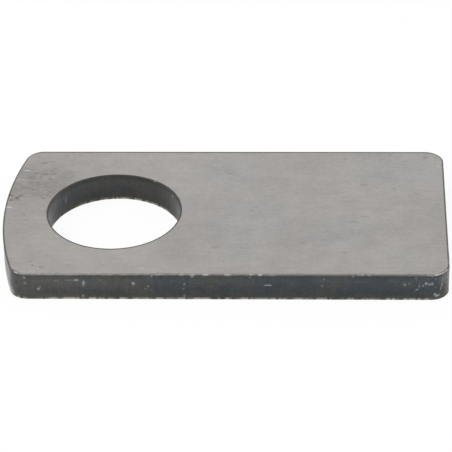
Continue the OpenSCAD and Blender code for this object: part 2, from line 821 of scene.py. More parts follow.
@dataclass
class RolledFace:
    """A flat face of the sheet as the mill and the handling left it, in millimetres.

    Args:
        sizes: Sizes of the plate.
        z: Height of the face.
        marks: Every mark on the plate.
    """

    sizes: PlateSizes
    z: float
    marks: tuple[Mark, ...]

    #: Spacing of the face's own points, the part of it that they are shaken by, and their gap to the cuts.
    grid: float = 1.15
    shake: float = 0.3
    rim_gap: float = 1.3
    #: Points round a mark: least spacing, steps in its lesser half size, fewest and most across it, the part
    #: of its half size that they reach to, and how near the face a mark is that belongs to it.
    mark_grid: float = 0.13
    mark_steps: int = 3
    mark_counts: tuple[int, int] = (3, 14)
    mark_margin: float = 1.3
    mark_height: float = 0.5
    #: Depth and length of the waves in the face, and the distances from a cut over which they set in.
    waviness: float = 0.012
    wave_length: float = 22.0
    wave_range: Range = (0.8, 5.0)

    WAVE_SHIFT = 5.0

    def inner_places(self, seed: int) -> np.ndarray:
        """Choose the face's own points: an uneven grid, with closer points round each mark.

        Args:
            seed: Seed of the small random shifts of the grid.

        Returns:
            Rows of x and y.
        """
        sizes, rng = self.sizes, np.random.default_rng(seed)
        xs = np.arange(sizes.tip_x, sizes.end_x, self.grid)
        ys = np.arange(-sizes.half_width, sizes.half_width, self.grid)
        grid = np.stack(np.meshgrid(xs, ys), axis=-1).reshape(-1, 2)
        grid += rng.uniform(-self.shake, self.shake, grid.shape) * self.grid
        sets = [grid]
        for mark in self.marks:
            if mark.kind is MarkKind.COOL or abs(mark.centre[2] - self.z) > self.mark_height:
                continue
            half = np.array(mark.half_size[:2])
            spacing = np.maximum(half.min() / self.mark_steps, self.mark_grid)
            counts = np.clip(np.ceil(2 * self.mark_margin * half / spacing), *self.mark_counts).astype(int)
            axes = [np.linspace(-edge, edge, n) for edge, n in zip(self.mark_margin * half, counts)]
            sets.append(np.stack(np.meshgrid(*axes), axis=-1).reshape(-1, 2) + np.array(mark.centre[:2]))
        flat = np.vstack(sets)
        return flat[sizes.depth_inside(*flat.T) > self.rim_gap]

    def patch(self, flat: np.ndarray) -> Surface:
        """Give the face's points their height and what they show.

        Args:
            flat: Rows of x and y.

        Returns:
            The face's vertices.
        """
        down = -1.0 if self.z > 0 else 1.0
        places = np.column_stack([flat, np.full(len(flat), self.z)])
        depth = self.sizes.depth_inside(*flat.T)
        wave = noise_at(places, (self.wave_length,) * 3, 1, self.WAVE_SHIFT)
        places[:, 2] += down * self.waviness * (1 + wave) / 2 * smooth_step(*self.wave_range, depth)
        inward = np.tile([0.0, 0.0, down], (len(flat), 1))
        return Surface(places, inward, *(np.zeros(len(flat)) for _ in Surface.SHOWN))


@dataclass(frozen=True)
class Mottle:
    """One layer of light and dark in a finish.

    Args:
        size_mm: Size of a patch along x, y and z.
        contrast: How far the layer lightens and darkens, as a part of the colour.
        detail: How many finer layers it has.
        shift: Moves the pattern, so that no two layers match.
    """

    size_mm: Triple
    contrast: float
    detail: float
    shift: float = 0.0


@dataclass(frozen=True)
class Patches:
    """Separate patches in a finish, where a pattern of noise is high.

    Args:
        size_mm: Size of a patch along x, y and z.
        detail: How many finer layers the noise has.
        shift: Moves the pattern, so that no two match.
        ramp: Noise where a patch starts and where it is full, and what shows at each.
    """

    size_mm: Triple
    detail: float
    shift: float
    ramp: Ramp


@dataclass(frozen=True)
class RolledSteel:
    """Mild steel sheet, hot rolled, pickled and lightly brushed along its length.

    Gives the eye a dull warm grey with a fine lengthwise grain, slightly cooler in places, with no mirror.
    The first layer is the grain and the second the streaks, both coarser than real, so that they show.
    """

    warm: str = "#A5A19E"
    cool: str = "#A2A19F"
    #: Mean roughness, how far the streaks change it, and their relief beside the grain's.
    roughness: float = 0.46
    roughness_range: float = 0.12
    streak_relief: float = 0.6
    layers: tuple[Mottle, ...] = (
        Mottle((2.8, 0.8, 0.8), 0.14, 1.4),
        Mottle((11.0, 1.3, 1.3), 0.15, 1.6, 4.0),
        Mottle((0.9, 1.3, 1.3), 0.2, 2.0, 17.0),
        Mottle((5.0, 6.0, 6.0), 0.24, 3.0, 8.0),
        Mottle((26.0, 18.0, 18.0), 0.28, 2.0, 41.0),
    )
    #: Faint cool patches, dark flecks, and how dirt breaks up along the grain.
    tint: Patches = Patches((24.0, 24.0, 24.0), 2.0, 15.0, (0.48, 0.75, 0.0, 0.5))
    fleck: Patches = Patches((2.0, 0.8, 0.8), 1.0, 21.0, (0.66, 0.78, 0.0, 1.0))
    soil: Patches = Patches((1.9, 0.8, 0.8), 3.0, 30.0, (0.38, 0.6, 0.25, 1.0))
    fleck_contrast: float = 0.16
    soil_contrast: float = 0.66


@dataclass(frozen=True)
class LaserOxide:
    """Oxide film that the laser leaves on its cut wall.

    Gives the eye a dark grey wall, bluer where the metal ran hotter and browner near the rims, with faint
    upright drag lines, which are the first layer. Shade and light are painted up the wall and towards its
    ends.
    """

    ash: str = "#555553"
    blue: str = "#474E55"
    brown: str = "#53524D"
    #: Mean roughness, how far the last layer changes it, what soot adds, and the relief of the drag lines.
    roughness: float = 0.34
    roughness_range: float = 0.2
    soot_roughness: float = 0.1
    line_relief: float = 1.2
    layers: tuple[Mottle, ...] = (
        Mottle((0.5, 0.5, 9.0), 0.36, 2.0, 2.0),
        Mottle((1.1, 1.1, 0.9), 0.58, 3.0, 6.0),
        Mottle((6.0, 6.0, 3.0), 0.5, 3.0, 12.0),
    )
    blued: Patches = Patches((8.0, 8.0, 4.5), 3.0, 25.0, (0.36, 0.62, 0.0, 0.78))
    # How far soot darkens the wall, and the painted shade on the hole's wall with it
    soot_contrast: float = 0.55
    #: Painted shade and light up the wall, darker low down and just under the top and lighter above the
    #: middle, and browning near its two rims, by part of its height.
    bands: tuple[Ramp, ...] = ((0.0, 0.2, 0.9, 0.78), (0.3, 0.75, 1.0, 1.32), (0.72, 0.9, 1.0, 0.86))
    browned: tuple[Ramp, Ramp] = ((0.1, 0.3, 0.8, 0.0), (0.75, 1.0, 0.0, 0.5))
    #: Painted light along the wall, lighter towards both ends, by place in millimetres.
    ends_mm: tuple[Ramp, ...] = ((-30.0, 14.0, 1.18, 0.93), (78.0, 88.0, 1.0, 1.18))


@dataclass(frozen=True)
class BareSteel:
    """Clean steel where a knock or a chip took the film off; on upper rims and the rounded end it also
    paints light.

    Gives the eye small light specks and thin bright edges, browned a little by the heat near the lower rim.
    """

    colour: str = "#C9CACA"
    browned: str = "#CFC8B8"
    #: Heights in millimetres between which the browning fades.
    browned_mm: Ramp = (0.6, 1.2, 1.0, 0.0)
    roughness: float = 0.36


@dataclass
class PlateSteel:
    """The plate's material: one steel in three states, mixed by what each vertex shows.

    Args:
        thickness: Height of the cut walls, in millimetres.
        face: Finish of the rolled faces.
        cut: Finish of the cut walls.
        bare: Finish where the film is off.
        relief_mm: Depth of the finest relief.
        relief_strength: How strongly it turns the light.
        layer_strength: How strong each finer layer of a pattern is beside the last.
    """

    thickness: float
    face: RolledSteel = RolledSteel()
    cut: LaserOxide = LaserOxide()
    bare: BareSteel = BareSteel()
    relief_mm: float = 0.03
    relief_strength: float = 0.5
    layer_strength: float = 0.55

    def __post_init__(self) -> None:
        """Start the node material with the places that its patterns, its painted shade and light, and its
        browning follow.
        """
        self.material = bpy.data.materials.new("mild_steel_laser_cut")
        self.material.use_nodes = True
        self.tree = self.material.node_tree
        self.tree.nodes.clear()
        self.place = add_node(self.tree, "TexCoord").outputs["Object"]
        split = add_node(self.tree, "SeparateXYZ", {"Vector": self.place})
        self.along, self.height = split.outputs["X"], split.outputs["Z"]

    def make(self) -> bpy.types.Material:
        """Build the node material.

        Returns:
            The material.
        """
        tree = self.tree
        oxide, bare, soil, blued, cool = (
            add_node(tree, "Attribute", attribute_name=name).outputs["Fac"] for name in Surface.SHOWN
        )
        face_colour, face_height, face_rough = self._face(soil, cool)
        cut_colour, cut_height, cut_rough = self._cut(soil, blued)
        low = self._ramp(self.height, self.bare.browned_mm, MM)
        steel = self._mix_colour(low, linear(self.bare.colour), linear(self.bare.browned))
        colour = self._mix_colour(bare, self._mix_colour(oxide, face_colour, cut_colour), steel)
        rough = self._mix(bare, self._mix(oxide, face_rough, cut_rough), self.bare.roughness)
        bump = add_node(
            tree,
            "Bump",
            {
                "Strength": self.relief_strength,
                "Distance": self.relief_mm * MM,
                "Height": self._mix(oxide, face_height, cut_height),
            },
        )
        shader = add_node(
            tree,
            "BsdfPrincipled",
            {"Base Color": colour, "Metallic": 1.0, "Roughness": rough, "Normal": bump.outputs["Normal"]},
        )
        add_node(tree, "OutputMaterial", {"Surface": shader.outputs["BSDF"]})
        return self.material

    def _noise(self, size_mm: Triple, detail: float, shift: float) -> Socket:
        """Add a pattern of noise.

        Args:
            size_mm: Size of a feature along x, y and z.
            detail: How many finer layers it has.
            shift: Moves the pattern.

        Returns:
            The noise, from 0 to 1.
        """
        scale = tuple(1 / (size * MM) for size in size_mm)
        inputs = {"Vector": self.place, "Scale": scale, "Location": (shift,) * 3}
        mapped = add_node(self.tree, "Mapping", inputs).outputs["Vector"]
        inputs = {"Vector": mapped, "Scale": 1.0, "Detail": detail, "Roughness": self.layer_strength}
        return add_node(self.tree, "TexNoise", inputs, noise_dimensions="3D").outputs["Fac"]

    def _math(self, operation: str, *values: Any) -> Socket:
        """One sum on numbers or sockets."""
        return add_node(self.tree, "Math", dict(enumerate(values)), operation=operation).outputs[0]

    def _ramp(self, value: Any, ramp: Ramp, unit: float = 1.0) -> Socket:
        """Turn a value into another by a ramp, held at its ends.

        Args:
            value: Number or socket.
            ramp: Where the change starts and ends, and the value at each.
            unit: What the ramp's places are counted in.

        Returns:
            The new value.
        """
        start, end, first, last = ramp
        inputs = {
            "Value": value,
            "From Min": start * unit,
            "From Max": end * unit,
            "To Min": first,
            "To Max": last,
        }
        return add_node(self.tree, "MapRange", inputs, clamp=True).outputs["Result"]

    # The Mix node's sockets share their names, so that the next two methods pick them by number
    def _mix(self, part: Any, first: Any, second: Any) -> Socket:
        """Blend two numbers."""
        return add_node(self.tree, "Mix", {0: part, 2: first, 3: second}, data_type="FLOAT").outputs[0]

    def _mix_colour(self, part: Any, first: Any, second: Any) -> Socket:
        """Blend two colours."""
        return add_node(self.tree, "Mix", {0: part, 6: first, 7: second}, data_type="RGBA").outputs[2]

    def _shade(self, colour: Any, value: Any) -> Socket:
        """Lighten or darken a colour by a factor."""
        return add_node(self.tree, "VectorMath", {0: colour, "Scale": value}, operation="SCALE").outputs[0]

    def _mottled(self, layers: tuple[Mottle, ...]) -> tuple[Socket, list[Socket]]:
        """Lay patterns of light and dark over each other.

        Args:
            layers: The patterns.

        Returns:
            The factor that shades the colour, about 1 on average, and each pattern by itself.
        """
        patterns = [self._noise(layer.size_mm, layer.detail, layer.shift) for layer in layers]
        value: Any = 1.0
        for layer, pattern in zip(layers, patterns):
            factor = self._math("MULTIPLY_ADD", pattern, layer.contrast, 1 - layer.contrast / 2)
            value = self._math("MULTIPLY", value, factor)
        return value, patterns

    def _patches(self, patches: Patches, more: Socket | None = None) -> Socket:
        """Add separate patches.

        Args:
            patches: How they are spread, and what shows in them.
            more: Added to their noise, so that they grow where it is high.

        Returns:
            What shows, between the two values of their ramp.
        """
        pattern = self._noise(patches.size_mm, patches.detail, patches.shift)
        if more is not None:
            pattern = self._math("ADD", pattern, more)
        return self._ramp(pattern, patches.ramp)

    def _darkened(self, value: Any, cover: Any, contrast: float) -> Socket:
        """Darken a factor by the given contrast where the cover is 1."""
        return self._math("MULTIPLY", value, self._math("MULTIPLY_ADD", cover, -contrast, 1.0))

    def _face(self, soil: Socket, cool: Socket) -> tuple[Socket, Socket, Socket]:
        """Finish the rolled faces.

        Args:
            soil: Where dirt lies.
            cool: Where the steel is less brown.

        Returns:
            Colour, height and roughness.
        """
        face = self.face
        value, (grain, streak, *_) = self._mottled(face.layers)
        value = self._darkened(value, self._patches(face.fleck), face.fleck_contrast)
        dirt = self._math("MULTIPLY", self._patches(face.soil), soil)
        value = self._darkened(value, dirt, face.soil_contrast)
        tint = self._math("MAXIMUM", self._patches(face.tint), cool)
        colour = self._shade(self._mix_colour(tint, linear(face.warm), linear(face.cool)), value)
        least = face.roughness - face.roughness_range / 2
        rough = self._math("MULTIPLY_ADD", streak, face.roughness_range, least)
        height = self._math("ADD", grain, self._math("MULTIPLY", streak, face.streak_relief))
        return colour, height, rough

    def _cut(self, soil: Socket, blued: Socket) -> tuple[Socket, Socket, Socket]:
        """Finish the cut walls.

        Args:
            soil: Where soot lies, and where shade is painted on the hole's wall.
            blued: How much bluer the film has turned.

        Returns:
            Colour, height and roughness.
        """
        cut, top = self.cut, self.thickness * MM
        value, (lines, *_, patch) = self._mottled(cut.layers)
        # Darken the soot, and the painted shade on the hole's wall
        value = self._darkened(value, soil, cut.soot_contrast)
        # Painted shade and light up the wall
        for ramp in cut.bands:
            value = self._math("MULTIPLY", value, self._ramp(self.height, ramp, top))
        # Painted light towards both ends of the wall
        for ramp in cut.ends_mm:
            value = self._math("MULTIPLY", value, self._ramp(self.along, ramp, MM))
        colour = self._mix_colour(self._patches(cut.blued, blued), linear(cut.ash), linear(cut.blue))
        browned = self._math("ADD", *(self._ramp(self.height, ramp, top) for ramp in cut.browned))
        colour = self._mix_colour(browned, colour, linear(cut.brown))
        least = cut.roughness - cut.roughness_range / 2
        rough = self._math("MULTIPLY_ADD", patch, cut.roughness_range, least)
        rough = self._math("MULTIPLY_ADD", soil, cut.soot_roughness, rough)
        return self._shade(colour, value), self._math("MULTIPLY", lines, cut.line_relief), rough


@dataclass
class LockPlate:
    """The plate: two cut walls and two rolled faces, joined into one skin.

    Args:
        sizes: Sizes in millimetres.
        marks: Single marks, by their place.
        wear: Worn stretches of rim.
        outline_step: Distance between samples along the outer cut.
        hole_step: Distance between samples round the hole.
        ragged_mm: Least size of the raggedness of a mark's border.
        ragged_part: Its size on a large mark, as a part of the mark's lesser half size.
    """

    sizes: PlateSizes
    marks: tuple[Mark, ...]
    wear: tuple[RimWear, ...]
    outline_step: float = 0.28
    hole_step: float = 0.3
    ragged_mm: float = 0.45
    ragged_part: float = 0.4

    RAGGED_SHIFT = 50.0
    #: For the two faces: the row of the walls that meets each, and the seed of its own points.
    TOP_FACE = (-1, 1)
    UNDERSIDE = (0, 2)
    #: For the triangles of a face: keep only those inside the outer cut, and join points closer than this.
    INSIDE_OUTLINE = 1
    SAME_POINT = 1e-6

    def build(self) -> bpy.types.Object:
        """Make the mesh and dress it.

        Returns:
            The finished piece.
        """
        sizes = self.sizes
        cut = LaserCut(sizes, self.wear)
        walls = [
            cut.wall(sizes.outline(self.outline_step)),
            cut.wall(sizes.hole(self.hole_step)),
        ]
        surfaces: list[Surface] = list(walls)
        starts = [0, len(walls[0].places)]
        count = starts[1] + len(walls[1].places)
        faces: list[Face] = []
        for wall, start in zip(walls, starts):
            faces += self._wall_faces(wall, start)
        for z, (row, seed) in ((sizes.thickness, self.TOP_FACE), (0.0, self.UNDERSIDE)):
            face = RolledFace(sizes, z, self.marks)
            inner, triangles = self._fill(face, walls, row, seed)
            rims = [
                start + (row % wall.rows) * wall.columns + np.arange(wall.columns)
                for wall, start in zip(walls, starts)
            ]
            index = np.concatenate([*rims, count + np.arange(len(inner))])
            order = slice(None) if z > 0 else slice(None, None, -1)
            faces += [tuple(int(index[i]) for i in triangle[order]) for triangle in triangles]
            surfaces.append(face.patch(inner))
            count += len(inner)
        parts = ("places", "inward", *Surface.SHOWN)
        skin = Surface(*(np.concatenate([getattr(surface, part) for surface in surfaces]) for part in parts))
        self._apply_marks(skin)
        return self._mesh(skin, faces)

    @staticmethod
    def _wall_faces(wall: WallGrid, start: int) -> list[Face]:
        """Make the quads of one wall, wound so that they face out of the metal.

        Args:
            wall: The wall.
            start: Number of its first vertex.

        Returns:
            The quads.
        """
        quads = []
        for row in range(wall.rows - 1):
            low, high = start + row * wall.columns, start + (row + 1) * wall.columns
            for column in range(wall.columns):
                after = (column + 1) % wall.columns
                quads.append((low + column, low + after, high + after, high + column))
        return quads

    def _fill(
        self, face: RolledFace, walls: list[WallGrid], row: int, seed: int
    ) -> tuple[np.ndarray, list[Face]]:
        """Fill a face between the two cuts with triangles.

        Args:
            face: The face.
            walls: The outer wall and the hole's wall.
            row: The row of the walls that meets the face.
            seed: Seed for the face's own points.

        Returns:
            The face's own points, and triangles over the rim points followed by those.
        """
        rims = [wall.row(row)[:, :2] for wall in walls]
        inner = face.inner_places(seed)
        flat = np.vstack([*rims, inner])
        edges, start = [], 0
        for rim in rims:
            edges += [(start + i, start + (i + 1) % len(rim)) for i in range(len(rim))]
            start += len(rim)
        points = [Vector(p) for p in flat]
        result = delaunay_2d_cdt(points, edges, [], self.INSIDE_OUTLINE, self.SAME_POINT)
        _, _, found, sources, *_ = result
        origin = [source[0] if source else -1 for source in sources]
        owned = (tuple(origin[i] for i in triangle) for triangle in found)
        # A triangle that lies across the hole has all of its points on the hole's rim
        hole_rim = range(len(rims[0]), len(rims[0]) + len(rims[1]))
        triangles = [own for own in owned if min(own) >= 0 and not all(i in hole_rim for i in own)]
        return inner, triangles

    def _apply_marks(self, skin: Surface) -> None:
        """Dent and colour the skin where the marks are.

        Args:
            skin: The whole skin, which is changed.
        """
        places = skin.places.copy()
        shown_by = {MarkKind.NICK: skin.bare, MarkKind.RUB: skin.bare, MarkKind.COOL: skin.cool}
        for mark in self.marks:
            near = np.flatnonzero(mark.near(places))
            ragged_mm = max(self.ragged_mm, self.ragged_part * min(mark.half_size[:2]))
            ragged = noise_at(places[near], (ragged_mm,) * 3, 2, self.RAGGED_SHIFT)
            reach = mark.strength * mark.reach(places[near], ragged)
            skin.places[near] += skin.inward[near] * (mark.depth * reach)[:, None]
            shown = shown_by.get(mark.kind, skin.soil)
            shown[near] = np.maximum(shown[near], reach)

    def _mesh(self, skin: Surface, faces: list[Face]) -> bpy.types.Object:
        """Make the Blender object and give it its material.

        Args:
            skin: The whole skin.
            faces: Its faces.

        Returns:
            The object.
        """
        mesh = bpy.data.meshes.new("steel_plate")
        mesh.from_pydata((skin.places * MM).tolist(), [], faces)
        for name in Surface.SHOWN:
            layer = mesh.attributes.new(name, "FLOAT", "POINT")
            layer.data.foreach_set("value", getattr(skin, name).astype(np.float32))
        mesh.shade_smooth()
        mesh.validate()
        piece = bpy.data.objects.new("steel_plate", mesh)
        bpy.context.scene.collection.objects.link(piece)
        mesh.materials.append(PlateSteel(self.sizes.thickness).make())
        return piece


@dataclass
class Wear:
    """Marks and worn rims: those that the photograph shows, and like ones on the sides it doesn't show.

    Every place and size is in millimetres in the row frame, unless a table says otherwise.

    Args:
        sizes: Sizes of the plate.
        seed: Seed of the marks on the sides that the photograph doesn't show.
        wall_reach: How far a knock in the near wall reaches across the plate.
        face_reach: How far a mark on a face reaches up and down.
    """

    sizes: PlateSizes
    seed: int = 7
    wall_reach: float = 0.8
    face_reach: float = 0.4

    #: Knocks on the near wall: x, height, half length, half height, strength.
    NEAR_NICKS = (
        (-21.9, 6.9, 0.35, 0.45, 0.3), (-21.8, 5.0, 0.38, 0.3, 0.26), (-18.5, 3.2, 0.6, 0.24, 0.5),
        (-17.9, 3.8, 0.25, 0.25, 0.25), (-13.6, 5.9, 0.8, 0.3, 0.1), (-10.2, 6.1, 0.9, 0.2, 0.14),
        (-8.2, 6.1, 0.75, 0.25, 0.48), (-6.3, 5.1, 0.35, 0.95, 0.36), (-6.6, 1.0, 0.28, 0.4, 0.35),
        (-1.8, 6.1, 0.35, 0.35, 0.12), (6.8, 5.0, 0.4, 0.6, 0.5), (10.8, 4.2, 0.28, 0.28, 0.22),
        (10.0, 3.4, 0.3, 0.3, 0.16), (11.5, 3.0, 0.3, 0.3, 0.12), (11.7, 7.5, 0.25, 0.3, 0.5),
        (22.4, 7.5, 0.45, 0.35, 0.45), (20.3, 4.9, 0.28, 0.5, 0.27), (20.1, 3.5, 0.4, 0.2, 0.28),
        (20.1, 1.1, 0.2, 0.5, 0.3), (37.5, 7.1, 0.2, 0.45, 0.2), (42.4, 4.6, 1.1, 0.26, 0.42),
        (57.0, 6.5, 0.35, 0.32, 0.18), (56.5, 4.3, 0.4, 0.3, 0.18), (64.6, 7.5, 0.3, 0.35, 0.2),
        (62.8, 3.5, 0.35, 0.25, 0.06), (78.1, 4.9, 0.6, 0.38, 0.22), (79.3, 5.2, 0.45, 0.22, 0.2),
        (81.0, 6.9, 0.5, 0.5, 0.12), (81.4, 3.3, 0.42, 0.3, 0.38), (81.9, 4.5, 0.25, 0.55, 0.35),
        (83.0, 4.6, 0.3, 0.35, 0.3), (83.7, 5.2, 0.35, 0.4, 0.62), (84.6, 5.0, 0.9, 0.22, 0.4),
        (85.4, 5.1, 0.3, 0.4, 0.42), (87.9, 4.4, 0.22, 0.7, 0.34), (87.6, 3.2, 0.22, 0.45, 0.36),
        (87.0, 5.2, 0.22, 0.3, 0.14), (86.1, 1.7, 0.28, 0.6, 0.5), (86.8, 1.2, 0.6, 0.28, 0.75),
        (88.4, 6.1, 2.0, 1.8, 0.1), (88.7, 6.9, 0.25, 0.25, 0.28), (88.0, 6.2, 0.25, 0.3, 0.24),
        (89.2, 5.6, 0.25, 0.35, 0.26), (88.3, 7.2, 0.25, 0.2, 0.2), (87.3, 6.7, 0.25, 0.25, 0.2),
        (86.3, 6.6, 0.3, 0.25, 0.2), (85.2, 7.0, 0.25, 0.25, 0.18), (84.2, 6.7, 0.25, 0.2, 0.14),
        (89.0, 4.4, 0.25, 0.3, 0.2), (89.4, 6.6, 0.25, 0.4, 0.24), (86.2, 3.9, 0.25, 0.25, 0.12),
    )
    #: Light scratches on the top face: x, y, half length, half width, strength.
    FACE_RUBS = (
        (-25.4, 20.1, 1.1, 0.28, 0.9), (-26.4, 15.4, 1.9, 0.26, 0.5), (-28.7, 1.7, 0.9, 0.3, 0.95),
        (-19.6, 0.9, 0.5, 0.27, 0.45), (-23.9, -5.6, 0.4, 0.4, 0.3), (-18.3, -27.2, 0.5, 0.3, 0.35),
        (-10.1, -24.7, 2.6, 0.3, 0.18), (8.8, -27.1, 0.9, 0.5, 0.22), (-3.5, 24.0, 1.6, 0.25, 0.15),
    )
    #: Dirt rubbed into the top face: x, y, half length, half width, strength.
    FACE_SMUDGES = (
        (-21.5, 13.5, 11.0, 9.5, 0.36), (-26.0, -2.0, 6.5, 27.0, 0.1), (-27.5, 7.0, 3.6, 2.6, 0.34),
        (-26.9, 6.4, 0.75, 0.7, 1.0), (-26.6, 7.3, 1.4, 0.4, 0.9), (-28.8, 5.3, 0.8, 0.6, 0.95),
        (-28.9, 7.6, 0.9, 0.9, 1.0), (-25.8, 18.8, 1.6, 0.35, 0.35), (-22.4, 18.9, 1.9, 0.35, 0.45),
        (-24.3, 10.9, 0.9, 0.45, 0.9), (-23.1, 10.2, 0.65, 0.5, 1.0), (-21.6, 10.7, 0.7, 0.35, 0.6),
        (-21.9, 14.1, 0.8, 0.4, 0.6), (-24.0, 14.2, 1.1, 0.4, 0.7), (-24.9, 16.4, 1.4, 0.8, 0.7),
        (-23.1, 16.9, 0.9, 0.6, 0.6), (-21.3, 17.2, 0.8, 0.5, 0.75), (-20.0, 18.6, 1.1, 0.7, 0.85),
        (-18.2, 18.4, 1.5, 0.4, 0.6), (-22.8, 18.7, 1.0, 0.5, 0.5), (-18.9, 15.6, 0.6, 0.9, 0.55),
        (-26.2, 12.2, 0.5, 0.3, 0.5), (-18.4, 7.8, 1.1, 0.4, 0.8), (-19.8, 6.2, 0.7, 0.5, 0.8),
        (-19.6, 11.6, 0.8, 0.4, 0.5), (-21.1, 23.9, 1.1, 0.6, 0.5), (-18.6, 24.6, 1.2, 0.5, 0.4),
        (-18.9, 22.8, 0.9, 0.5, 0.4), (-24.4, -1.8, 0.55, 0.8, 0.9), (-23.6, -4.4, 0.35, 0.5, 0.35),
        (-14.9, 16.4, 0.9, 0.5, 0.35), (-20.7, -24.2, 0.8, 0.6, 0.28), (-18.4, -24.6, 0.9, 0.4, 0.16),
        (-17.5, -26.8, 1.1, 0.6, 0.35), (-2.4, -24.3, 0.5, 0.4, 0.25), (-1.6, -25.7, 0.4, 0.4, 0.35),
        (23.0, 7.7, 1.0, 0.5, 0.28), (28.0, -17.2, 1.1, 0.6, 0.26), (31.0, 18.9, 1.6, 0.5, 0.3),
        (39.6, -0.8, 0.5, 0.45, 0.3), (41.5, 7.3, 1.2, 0.6, 0.18), (51.4, -15.3, 1.3, 0.7, 0.25),
        (62.4, -19.6, 1.5, 0.6, 0.34), (65.3, -5.0, 1.5, 0.5, 0.26), (68.2, -2.6, 1.2, 0.5, 0.34),
        (67.8, 13.1, 1.2, 0.6, 0.34), (76.1, 11.4, 0.7, 0.7, 0.35), (76.3, 9.8, 0.6, 0.4, 0.25),
        (82.2, 8.8, 1.0, 0.5, 0.28), (85.1, 27.0, 0.9, 0.7, 0.5), (88.0, 27.3, 0.6, 0.4, 0.3),
        (85.1, 23.9, 0.6, 0.4, 0.3), (75.0, 28.3, 0.7, 0.4, 0.4), (72.3, 28.3, 0.9, 0.4, 0.35),
        (62.8, 26.2, 0.6, 0.6, 0.4), (46.8, 27.0, 1.2, 0.5, 0.25),
    )
    #: Soft cool patches on the top face: x, y, half length, half width, strength.
    FACE_COOL = (
        (31.0, 19.0, 10.0, 10.0, 1.0), (37.0, -5.0, 11.0, 14.0, 1.0), (34.5, -19.0, 4.5, 7.0, 0.8),
        (77.0, 21.0, 15.0, 10.5, 1.0), (61.5, -9.5, 10.0, 8.5, 1.0),
    )
    #: Small pits in the top face: x, y, half length, half width, strength.
    FACE_PITS = (
        (-20.0, -25.9, 0.45, 0.4, 0.7), (-17.9, -26.5, 0.42, 0.35, 1.0), (-29.9, -1.7, 0.45, 0.5, 0.7),
    )
    #: Bright stretches of the near upper rim, bare steel that also paints a highlight along the round: where
    #: they start and end in x, and strength.
    NEAR_RIM = (
        (-20.0, 2.6, 0.13), (3.0, 5.5, 0.12), (12.5, 14.9, 0.12), (18.9, 20.2, 0.28), (21.6, 23.2, 0.3),
        (25.1, 26.7, 0.52), (30.8, 32.9, 0.42), (37.1, 38.2, 0.4), (39.8, 40.7, 0.58), (42.6, 44.0, 0.16),
        (65.8, 67.2, 0.45), (68.4, 69.2, 0.3),
    )
    #: Bright stretches of the upper rim at the near corners of the square end and the rounded end, bare
    #: steel that
    #: also paints a highlight: start and end along the rim from that end of the straight side, and strength.
    SQUARE_CORNER_RIM = ((-1.2, 1.1, 0.25), (0.9, 5.9, 1.15))
    ARC_CORNER_RIM = ((-4.3, -2.4, 0.5),)
    #: Light stretches of the near lower rim: where they start and end in x, and strength.
    NEAR_CHIPS = (
        (-18.5, 24.0, 0.27), (24.0, 60.0, 0.2), (60.0, 86.0, 0.16), (-24.5, -21.5, 0.42),
        (-15.7, -12.8, 0.45), (-12.3, -4.9, 0.55), (-5.4, -2.0, 0.5), (2.5, 4.6, 0.5), (7.0, 8.2, 0.4),
        (9.9, 11.0, 0.4), (12.5, 15.6, 0.5), (18.3, 20.3, 0.45), (22.3, 27.4, 0.5), (28.8, 32.7, 0.5),
        (34.9, 38.2, 0.5), (38.6, 42.4, 0.36), (42.8, 46.9, 0.42), (49.1, 52.7, 0.42), (54.9, 59.3, 0.42),
        (62.5, 64.8, 0.4), (66.0, 70.5, 0.25), (71.7, 75.9, 0.5), (77.2, 84.9, 0.42),
    )
    #: Knocks in the hole's wall: angle from +X, height, half width, half height, strength.
    HOLE_NICKS = (
        (32.0, 6.5, 0.35, 0.35, 0.6), (142.0, 4.2, 0.6, 1.5, 0.07), (215.0, 4.4, 0.35, 0.35, 0.4),
        (290.0, 5.6, 0.35, 0.35, 0.35),
    )
    #: Light stretches of the hole's lower rim: angles from +X where they start and end, and strength.
    HOLE_CHIPS = (
        (132.0, 112.0, 0.22), (108.0, 90.0, 0.32), (90.0, 62.0, 0.46), (62.0, 38.0, 0.4), (30.0, 12.0, 0.3),
        (330.0, 296.0, 0.4), (280.0, 250.0, 0.45), (236.0, 196.0, 0.4), (180.0, 160.0, 0.4),
    )
    #: Rubs on the hole's upper rim, which also paint a highlight: angle from +X where they start, length,
    #: strength.
    HOLE_RUBS = ((56.5, 0.9, 0.45),)

    #: Knocks on the walls that the photograph doesn't show: how many, gap to the faces, half length, half
    #: height, strength, and where they start across the plate, from -1 at the near side to 1 at the far one.
    KNOCKS = 34
    KNOCK_GAP = 0.8
    KNOCK_LENGTH = (0.2, 0.9)
    KNOCK_HEIGHT = (0.15, 0.6)
    KNOCK_STRENGTH = (0.1, 0.45)
    HIDDEN_FROM = -0.8
    #: Marks on the underside: how many, x, y, half length, half width, strength.
    UNDER_MARKS = 26
    UNDER_X = (-26, 87)
    UNDER_Y = (-27, 27)
    UNDER_LENGTH = (0.4, 2.0)
    UNDER_WIDTH = (0.25, 0.6)
    UNDER_STRENGTH = (0.2, 0.6)
    #: Worn stretches of the unseen rims, where the upper ones also paint a highlight: lengths, mean gap
    #: beyond the least one, strengths.
    HIDDEN_RIMS = ((Rim.LOWER, (0.8, 5.0), 2.2, (0.25, 0.5)), (Rim.UPPER, (0.6, 2.0), 11.0, (0.2, 0.6)))
    LEAST_GAP = 0.4
    #: Where they start after the near side, and where they stop before it comes round again.
    HIDDEN_START = 8.0
    HIDDEN_STOP = 7.0
    #: Distance between samples of the outer cut when places are drawn along it.
    DRAW_STEP = 1.0

